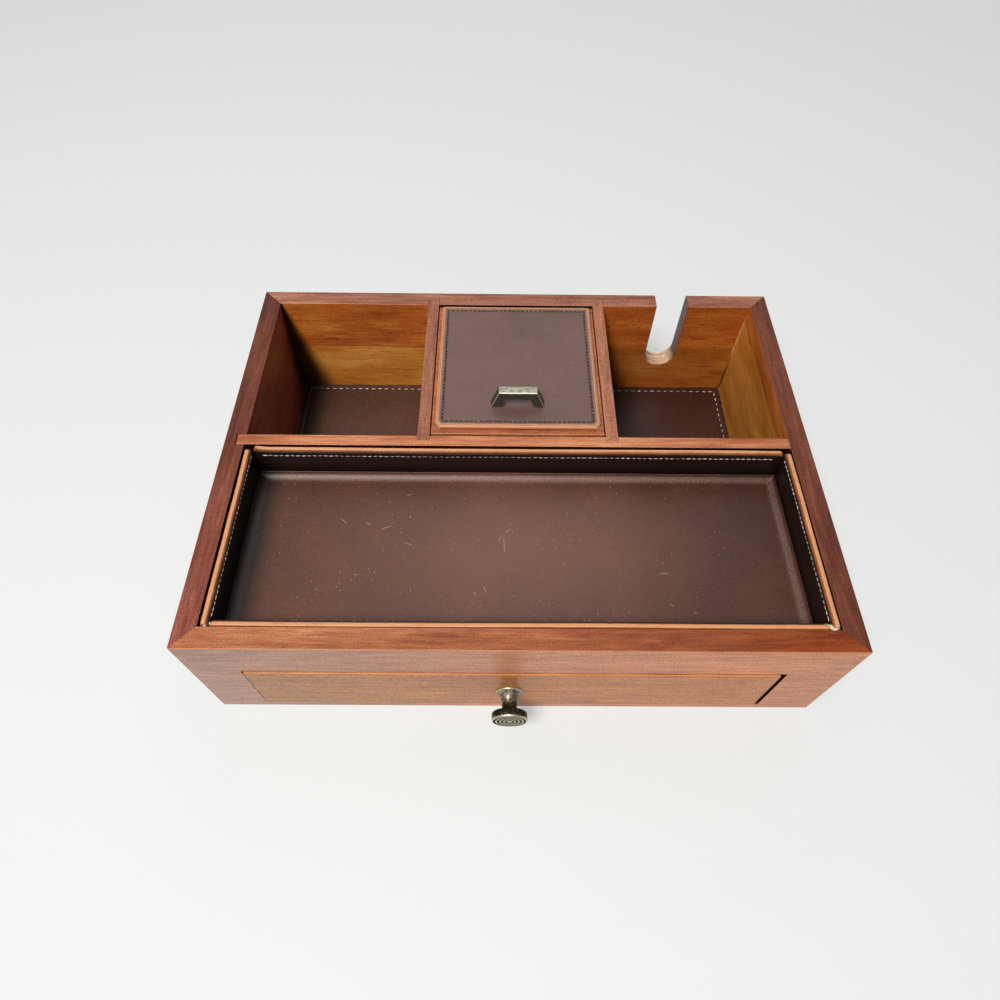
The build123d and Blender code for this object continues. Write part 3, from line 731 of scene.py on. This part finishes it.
for number, side in enumerate(("left", "right", "front", "back")):
    tray_wall(side, 20 + number, short_back=1.2 * MM if number < 2 else 0.0)


def frayed_end(name, place, size, seed):
    """A tuft of the board that shows where the leather has worn off a wall's end."""
    rng = random.Random(seed)
    bm = bmesh.new()
    turn = Matrix.Rotation(rng.uniform(-0.4, 0.4), 4, "Z")
    shape = Matrix.Translation(place) @ turn @ Matrix.Diagonal((*size, 1))
    bmesh.ops.create_icosphere(bm, subdivisions=3, radius=1, matrix=shape)
    for vert in bm.verts:
        away = vert.co - Vector(place)
        vert.co += away * rng.uniform(-0.3, 0.22)
    finish_mesh(name, bm, "case", [core_board], None)


front_low, front_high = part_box("tray_wall_front")
right_low, right_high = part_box("tray_wall_right")
left_low, left_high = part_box("tray_wall_left")
for name, place, size, seed in (
        ("front_right", (front_high.x - 0.7 * MM, front_low.y + 1.5 * MM,
                         front_high.z - 1.7 * MM), (2.6, 1.3, 1.4), 1),
        ("right", (right_low.x + 1.7 * MM, right_low.y + 0.5 * MM, right_high.z - 1.6 * MM),
         (1.9, 1.0, 1.2), 2),
        ("front_left", (front_low.x + 0.3 * MM, front_low.y + 1.3 * MM,
                        front_high.z - 1.9 * MM), (1.1, 0.9, 0.8), 3),
        ("left", (left_high.x - 1.9 * MM, left_low.y + 0.4 * MM, left_high.z - 1.6 * MM),
         (0.9, 0.7, 0.8), 4)):
    frayed_end("wall_core_" + name, place, [half * MM for half in size], seed)


# ------------------------------------------------------------------ stitching
# Thick waxed thread, sewn by machine a few millimetres inside each leather edge. Each stitch
# is a fat grain of thread between two punched holes.
def thread(name, light, dark, dim=None):
    """Waxed thread, each stitch a little lighter or darker. dim is a test of where shade is painted
    on it.
    """
    twist = Finish(name)
    patch = twist.noise(190, 2, 0.6)
    colour = twist.blend(patch.step(0.35, 0.65), dark, light)
    if dim:
        colour = twist.tint(dim(twist) * 0.95, colour, paint(36, 26, 22))
    return twist.surface(colour, 0.5)


def punched_hole():
    """The inside of a needle hole, painted almost black for its shade."""
    hole = Finish("needle_holes")
    fuzz = hole.noise(900, 2, 0.5)
    return hole.surface(hole.blend(fuzz, paint(14, 8, 6), paint(30, 18, 14)), 0.9)


hole_finish = punched_hole()


def grain_of(bm, middle, along, out, sizes):
    """One ellipsoid that lies along a row."""
    beside = out.cross(along)
    turn = Matrix((along, beside, out)).transposed().to_4x4()
    place = Matrix.Translation(middle) @ turn @ Matrix.Diagonal((*sizes, 1))
    return bmesh.ops.create_uvsphere(bm, u_segments=6, v_segments=5, radius=1, matrix=place)


def sew(name, body, runs, finish, seed, pitch=4.7 * MM, share=0.66, width=0.8 * MM,
        hole_share=0.13):
    """Rows of stitches. Each run is its start, its end and the leather's outward side."""
    rng = random.Random(seed)
    bm = bmesh.new()
    holes = set()
    for start, end, out in runs:
        start, end, out = Vector(start), Vector(end), Vector(out)
        way = end - start
        count = max(1, round(way.length / pitch))
        along = way.normalized()
        beside = out.cross(along)
        for index in range(count):
            middle = start + way * ((index + 0.5) / count)
            middle += beside * rng.uniform(-0.12, 0.12) * MM
            skewed = (along + beside * rng.uniform(-0.1, 0.1)).normalized()
            length = pitch * share * rng.uniform(0.85, 1.12)
            grain_of(bm, middle, skewed, out, (length / 2, width / 2, width * 0.36))
            hole = grain_of(bm, start + way * (index / count), along, out,
                            (pitch * hole_share, width * 0.45, 0.1 * MM))
            holes.update(face for vert in hole["verts"] for face in vert.link_faces)
    for face in bm.faces:
        face.material_index = 1 if face in holes else 0
    return finish_mesh(name, bm, body, [finish, hole_finish], None)


cream = paint(222, 200, 186), paint(140, 112, 100)
cream_thread = thread("cream_thread", *cream)


def wall_stitches():
    """Rows near the top of all four walls' inner sheets."""
    end_gap = 4.5 * MM
    runs = []
    for side, axis, outward, drop in (("back", 0, -1, 4.0 * MM), ("left", 1, 1, 2.1 * MM),
                                      ("right", 1, -1, 2.5 * MM), ("front", 0, 1, 2.5 * MM)):
        low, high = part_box("tray_wall_" + side)
        across = 1 - axis
        start, end, out = [0, 0, high.z - drop], [0, 0, high.z - drop], [0, 0, 0]
        start[across] = end[across] = low[across] if outward < 0 else high[across]
        start[axis], end[axis] = low[axis] + end_gap, high[axis] - end_gap
        out[across] = outward
        runs.append((start, end, out))
    sew("tray_wall_stitches", "case", runs, cream_thread, 5, pitch=3.0 * MM,
        share=0.95, width=0.7 * MM, hole_share=0.06)


wall_stitches()


# ------------------------------------------------------------------ pads in the wells
# Thin espresso pads cut to the wells, hemmed with a stitched line all round. Their cut edges
# show a little pale board.
pad_edges = [0.08, 0.25, 0.5, 0.85, 1.3, 2.1, 3.0, 3.7, 4.1, 4.4, 4.7, 5.1, 5.8, 7, 9, 13]


def pad_top(radius, hem, pitch, crown):
    """Height of a sewn pad: a rounded edge, a row pulled in by its stitches and a soft middle."""
    def rise(inward, along):
        height = 0.0
        if inward < radius:
            height -= radius - math.sqrt(radius ** 2 - (radius - inward) ** 2)
        pulled = math.exp(-((inward - hem) / (0.55 * MM)) ** 2)
        height -= pulled * (0.24 + 0.06 * math.cos(2 * math.pi * along / pitch)) * MM
        if inward < hem:
            height += 0.1 * MM * math.sin(math.pi * inward / hem)
        else:
            height += crown * (1 - math.exp(-(inward - hem) / (9 * MM)))
        return height
    return rise


def row_round(low, high, hem, z):
    """The four runs of a row of stitches, a hem's width inside a pad's edge."""
    x0, x1, y0, y1 = low.x + hem, high.x - hem, low.y + hem, high.y - hem
    corners = [(x0, y0, z), (x1, y0, z), (x1, y1, z), (x0, y1, z)]
    return [(corners[k], corners[(k + 1) % 4], (0, 0, 1)) for k in range(4)]


def from_sides(hide, low, high, axis):
    """How far a place is from the nearer of a pad's two sides across an axis."""
    place = hide.axis("XYZ"[axis])
    return (place - low[axis]).least(high[axis] - place)


def well_pad(side, seed, start, end, deep, worn):
    """One pad, from its node's box. A shadow of the well's left side is painted on it: it is
    darkest at its left edge, up to start, and no longer darker from end on."""
    low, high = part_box("pad_" + side)
    hem = 4.4 * MM

    def painted_left_shadow(finish):
        return 1 - (finish.axis("X") - low.x).step(start, end)

    def frayed_edge(hide, colour):
        inward = from_sides(hide, low, high, 0).least(from_sides(hide, low, high, 1))
        ragged = hide.noise(420, 3, 0.8, (seed, 0, 0))
        bare = 1 - (inward + (ragged - 0.5) * 2.2 * MM).step(0.25 * MM, 0.6 * MM)
        return hide.blend(bare * 0.75, colour, paint(182, 156, 124))

    finish = espresso_leather("pad_leather_" + side, deep, worn, seed, dust=0.4,
                              edge=frayed_edge, painted_shadow=painted_left_shadow, sheen=0.4)
    bm = soft_block(low, high, [d * MM for d in pad_edges], {-1: 1.5 * MM, 1: 1.5 * MM},
                    pad_top(0.8 * MM, hem, 4.7 * MM, 0.3 * MM))
    piece = finish_mesh("well_pad_" + side, bm, "case", [finish], "pad_" + side)
    dimmed = thread("pad_thread_" + side, *cream, painted_left_shadow)
    sew("pad_stitches_" + side, "case", row_round(low, high, hem, high.z - 0.12 * MM),
        dimmed, seed)


well_pad("left", 30, 6 * MM, 20 * MM, paint(45, 23, 17), paint(101, 67, 50))
well_pad("centre", 31, 1 * MM, 10 * MM, paint(42, 20, 15), paint(94, 58, 44))
# The right pad is a darker copy of the same leather: painted shade of the right well.
well_pad("right", 32, 8 * MM, 45 * MM, paint(32, 13, 9), paint(70, 38, 27))


# ------------------------------------------------------------------ lid
# A wooden board with a leather pad on top. The pad's edge is wrapped in tan leather, its front
# corners are cut off, and a thinner thread sinks into its row of holes.
dress("lid_board", stained_wood("lid_board_wood", "X", paint(116, 58, 32), paint(168, 96, 60),
                                paint(208, 142, 98), (-0.05, 0.02), 12.0))
lid_specks = ((32.6, 57.4, 60, 0.9), (-35.0, 62.3, 20, 0.5), (-14.3, 39.3, 0, 0.4),
              (34.8, 24.6, 0, 0.4))
sunk_thread = thread("sunk_thread", paint(170, 152, 138), paint(60, 42, 36))


def lid_pad():
    low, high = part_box("lid_pad")
    hem, clip = 3.9 * MM, 2.8 * MM

    def rolled_edge(hide, colour):
        from_x = from_sides(hide, low, high, 0)
        from_front = hide.axis("Y") - low.y
        inward = from_x.least(from_sides(hide, low, high, 1))
        inward = inward.least((from_x + from_front - clip) / math.sqrt(2))
        ragged = hide.noise(150, 3, 0.6)
        inward = inward + (ragged - 0.5) * 1.1 * MM
        # Painted shade along the sunken row of stitches.
        groove = abs(inward - hem)
        colour = hide.tint((1 - groove.step(0.3 * MM, 0.9 * MM)) * 0.8, colour, paint(90, 70, 64))
        # Painted highlight on the soft hem between the row and the edge.
        colour = hide.blend((1 - inward.step(2.2 * MM, 3.4 * MM)) * 0.6, colour,
                            paint(158, 110, 88))
        colour = hide.blend(1 - inward.step(1.5 * MM, 2.1 * MM), colour, paint(208, 146, 104))
        # Painted shade in a crease just inside the tan edge.
        crease = abs(inward - 1.0 * MM)
        return hide.tint((1 - crease.step(0.1 * MM, 0.35 * MM)) * 0.6, colour,
                         paint(140, 96, 76))

    lid_leather = espresso_leather("lid_leather", paint(76, 50, 44), paint(124, 90, 82), 8.0,
                                   dust=0.25, scratches=lid_specks, edge=rolled_edge, sheen=0.75)
    edges = [d * MM for d in (0.1, 0.3, 0.6, 0.95, 1.3, 1.9, 2.7, 3.2, 3.6, 3.9, 4.2, 4.6, 5.3,
                              7, 10)]
    bm = soft_block(low, high, edges, {-1: clip, 1: 0.9 * MM},
                    pad_top(0.95 * MM, hem, 4.4 * MM, 0.25 * MM))
    piece = finish_mesh("lid_pad_leather", bm, "lid", [lid_leather], "lid_pad")
    sew("lid_pad_stitches", "lid", row_round(low, high, hem, high.z - 0.2 * MM), sunk_thread,
        41, pitch=2.7 * MM, share=0.42, width=0.55 * MM, hole_share=0.27)


lid_pad()


# ------------------------------------------------------------------ handle
# A small zinc casting plated to look like old brass: dark on its faces, rubbed bright on
# top, and lighter on top and along the bevels by painted highlights.
def old_brass(name, dark, bright, rubbed, roughness=0.42):
    """Antique plating, bright where a test gives wear and painted highlights, and dark where it is
    low.
    """
    metal = Finish(name)
    cloud = metal.noise(420, 4, 0.7)
    pits = metal.noise(1700, 3, 0.7)
    worn = (rubbed(metal) + (cloud - 0.5) * 1.1 + (pits - 0.5) * 0.9).step(0.25, 0.85)
    colour = metal.blend(worn, dark, bright)
    colour = metal.tint(pits.step(0.5, 0.75) * 0.6, colour, paint(120, 112, 96))
    return metal.surface(colour, roughness + pits * 0.2 - worn * 0.06, metallic=0.85,
                         normal=metal.bump(pits + cloud, 0.1 * MM, 0.7))


def handle_rub_and_highlight(metal):
    """Rubbed on top, and lighter on top and along the bevels of the two upright faces by painted
    highlights.
    """
    sideways = abs(metal.facing("Y"))
    bevel = sideways.step(0.3, 0.5) * (1 - sideways.step(0.88, 0.97))
    return (metal.facing("Z").step(0.6, 0.85) * 0.62).most(bevel * 1.2)


dress("lid_handle", old_brass("handle_brass", paint(92, 96, 84), paint(206, 204, 184), handle_rub_and_highlight))


# ------------------------------------------------------------------ drawer
# The drawer's front is cut from the same wood as the case, its edges rounded over. The box
# behind it is plain wood with a leather lining on the bottom.
# The drawer front's upright faces get a painted reflection of the bright room.
dress("drawer_front", stained_wood("drawer_front_wood", "X", paint(136, 72, 34),
                                   paint(184, 114, 62), paint(220, 158, 100), (0.05, -0.10), 1.6,
                                   glare=(paint(182, 130, 80), paint(212, 128, 45)), lacquer=0.32,
                                   cracks=((-17.0, 26.4, 6, 3.6), (-24, 25.6, 2, 2.4))))
dress("drawer_liner", espresso_leather("drawer_liner_leather", paint(66, 36, 28),
                                       paint(84, 50, 40), 15.0))


# ------------------------------------------------------------------ knob
# Cast and turned, plated like the handle: a flared foot, a waist and a thick disc whose face
# has four ring grooves that stayed black.
knob_low, knob_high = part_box("drawer_knob")
knob_x, knob_z = (knob_low.x + knob_high.x) / 2, (knob_low.z + knob_high.z) / 2
knob_root = knob_high.y


def knob_outline():
    """Radius and distance from the drawer front, in millimetres, from the root to the face."""
    points = [(0, 0), (6.4, 0), (6.7, 0.25), (6.7, 0.7), (6.45, 1.0)]
    foot, waist, foot_out, waist_out = 6.3, 3.8, 1.15, 7.2
    wide, high = foot - waist, waist_out - foot_out
    radius = (wide * wide + high * high) / (2 * wide)
    whole = math.asin(high / radius)
    for step in range(12, -1, -1):
        angle = whole * step / 12
        points.append((waist + radius * (1 - math.cos(angle)),
                       waist_out - radius * math.sin(angle)))
    points += [(waist, 8.6), (3.9, 9.3), (4.2, 9.9), (4.8, 10.35), (5.6, 10.6), (7.4, 10.85),
               (8.4, 11.15), (8.85, 11.6), (9.0, 12.2), (9.0, 14.8), (8.85, 15.35), (8.5, 15.65)]
    for groove in (7.8, 5.85, 3.9, 1.95):
        points += [(groove + 0.62, 15.74), (groove + 0.42, 15.5), (groove + 0.2, 15.05),
                   (groove - 0.2, 15.05), (groove - 0.42, 15.5), (groove - 0.62, 15.74)]
        if groove > 3:
            points.append((groove - 0.98, 15.8))
    return points + [(0.7, 15.8), (0, 15.8)]


def knob_rub_and_painted_light(metal):
    """Rubbed bright and lit by painted highlights on the rims, foot and face, black with patina in
    the grooves, and darker over the waist by painted shade.
    """
    out = knob_root - metal.axis("Y")
    off_x, off_z = metal.axis("X") - knob_x, metal.axis("Z") - knob_z
    radius = (off_x * off_x + off_z * off_z) ** 0.5
    groove = out.step(14.4 * MM, 14.8 * MM) * (1 - out.step(15.5 * MM, 15.76 * MM))
    groove = groove * (1 - radius.step(8.3 * MM, 8.45 * MM))
    rim = radius.step(8.3 * MM, 8.9 * MM) * out.step(14.6 * MM, 15.2 * MM)
    foot = 1 - out.step(0.9 * MM, 1.3 * MM)
    neck = out.step(5.5 * MM, 8.5 * MM) * (1 - out.step(14.2 * MM, 14.8 * MM))
    face = out.step(15.5 * MM, 15.7 * MM)
    return 0.5 + rim.most(foot).most(face * 0.6) * 0.6 - groove * 1.8 - neck * 0.25


def drawer_knob():
    bm = bmesh.new()
    verts = [bm.verts.new((knob_x + radius * MM, knob_root - out * MM, knob_z))
             for radius, out in knob_outline()]
    edges = [bm.edges.new(pair) for pair in zip(verts, verts[1:])]
    bmesh.ops.spin(bm, geom=verts + edges, cent=(knob_x, knob_root, knob_z), axis=(0, 1, 0),
                   angle=2 * math.pi, steps=56, use_merge=True)
    bmesh.ops.remove_doubles(bm, verts=bm.verts[:], dist=1e-6)
    bmesh.ops.recalc_face_normals(bm, faces=bm.faces[:])
    finish = old_brass("knob_brass", paint(44, 40, 30), paint(196, 188, 162), knob_rub_and_painted_light, 0.38)
    finish_mesh("knob_bronze", bm, "drawer", [finish], "drawer_knob")


drawer_knob()


# ------------------------------------------------------------------ floor, light and camera
# A white table under one broad window, high on the left and a little in front, with a bright
# wall behind the box and a white room all round.
def seen_directly(finish):
    """1 for what the camera sees, also in metal and glass."""
    path = finish.node("ShaderNodeLightPath", {}, {}, "Is Camera Ray")
    glossy = finish.node("ShaderNodeLightPath", {}, {}, "Is Glossy Ray")
    clear = finish.node("ShaderNodeLightPath", {}, {}, "Is Transmission Ray")
    return (path + glossy + clear).least(1)


def table_top():
    bm = bmesh.new()
    bmesh.ops.create_grid(bm, x_segments=1, y_segments=1, size=3)
    white = Finish("white_table")
    lit = white.node("ShaderNodeBsdfPrincipled", {},
                     {"Base Color": paint(232, 235, 235), "Roughness": 0.8})
    plain = white.node("ShaderNodeEmission", {}, {"Color": paint(236, 238, 237), "Strength": 1.0})
    white.node_output(white.node("ShaderNodeMixShader", {},
                                 {0: seen_directly(white) * 0.5, 1: lit, 2: plain}))
    mesh = bpy.data.meshes.new("table_top")
    bm.to_mesh(mesh)
    bm.free()
    mesh.materials.append(white.material)
    table = bpy.data.objects.new("table_top", mesh)
    bpy.context.scene.collection.objects.link(table)


table_top()


def area_light(name, place, aim, size, power, colour=(1, 1, 1)):
    """A square soft light that looks at a point."""
    data = bpy.data.lights.new(name, "AREA")
    data.size = size
    data.energy = power
    data.color = colour
    lamp = bpy.data.objects.new(name, data)
    lamp.location = place
    lamp.rotation_euler = (Vector(aim) - Vector(place)).to_track_quat("-Z", "Y").to_euler()
    bpy.context.scene.collection.objects.link(lamp)


area_light("window", (-0.42, -0.72, 1.45), (0, 0, 0.03), 0.5, 26, (1.0, 0.985, 0.96))
area_light("bright_wall", (0.05, 1.0, 1.6), (0, 0, 0.05), 1.4, 6, (0.97, 0.985, 1.0))

reflected_share, plain_level, seen_level = 0.24, 0.14, 1.0
room = bpy.data.worlds.new("room")
room.use_nodes = True
bpy.context.scene.world = room
ways = room.node_tree.nodes.new("ShaderNodeLightPath")
added = room.node_tree.nodes.new("ShaderNodeMath")
added.operation = "MAXIMUM"
dimmed = room.node_tree.nodes.new("ShaderNodeMath")
dimmed.operation = "MULTIPLY_ADD"
dimmed.inputs[1].default_value = reflected_share
level = room.node_tree.nodes.new("ShaderNodeMapRange")
level.inputs["To Min"].default_value = plain_level
level.inputs["To Max"].default_value = seen_level
background = room.node_tree.nodes["Background"]
background.inputs["Color"].default_value = (0.95, 0.97, 1.0, 1)
for start, end in ((ways.outputs["Is Camera Ray"], added.inputs[0]),
                   (ways.outputs["Is Transmission Ray"], added.inputs[1]),
                   (ways.outputs["Is Glossy Ray"], dimmed.inputs[0]),
                   (added.outputs[0], dimmed.inputs[2]),
                   (dimmed.outputs[0], level.inputs["Value"]),
                   (level.outputs[0], background.inputs["Strength"])):
    room.node_tree.links.new(start, end)

photo_width, focal_pixels, sensor = 1000, 699.2, 36.0
tilt_down, turn_right, roll = 56.43, 0.694, 1.005
camera_place = (-0.01214, -0.23837, 0.38199)
camera_data = bpy.data.cameras.new("camera")
camera_data.sensor_width = sensor
camera_data.lens = focal_pixels * sensor / photo_width
camera_data.clip_start = 0.01
camera = bpy.data.objects.new("camera", camera_data)
camera.matrix_world = (Matrix.Translation(camera_place)
                       @ Matrix.Rotation(math.radians(-turn_right), 4, "Z")
                       @ Matrix.Rotation(math.radians(90 - tilt_down), 4, "X")
                       @ Matrix.Rotation(math.radians(roll), 4, "Z"))
bpy.context.scene.collection.objects.link(camera)
bpy.context.scene.camera = camera
bpy.context.scene.view_settings.view_transform = "Standard"
